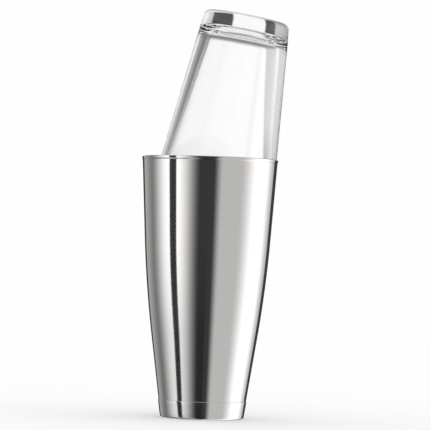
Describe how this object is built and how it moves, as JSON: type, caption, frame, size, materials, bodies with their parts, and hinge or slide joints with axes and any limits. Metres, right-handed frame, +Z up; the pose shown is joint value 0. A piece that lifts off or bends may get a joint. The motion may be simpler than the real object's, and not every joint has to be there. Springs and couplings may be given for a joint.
{
  "type": "bar shaker with mixing glass",
  "caption": "Weighted steel mixing tin with a thick-based clear mixing glass wedged upside down in its mouth, leaning to one side, for shaking drinks.",
  "frame": {"origin": "centre of the ring that the tin stands on, at table height", "axes": "+Z up along the tin's axis, +X towards the side the glass leans to, +Y to the left of +X seen from above"},
  "size_m": [0.0968, 0.0924, 0.2751],
  "materials": {
    "satin_steel": "fine satin, brushed round the tin",
    "clear_glass": "clear, fire polished"
  },
  "bodies": {
    "tin": {"tin_body": "satin_steel", "base_cap": "satin_steel", "base_weight": "satin_steel"},
    "glass": {"mixing_glass": "clear_glass"}
  },
  "joints": [
    {"name": "glass_lift", "type": "slide", "parent": "tin", "child": "glass", "axis": [0, 0, 1], "range_m": [0, 0.16]}
  ]
}
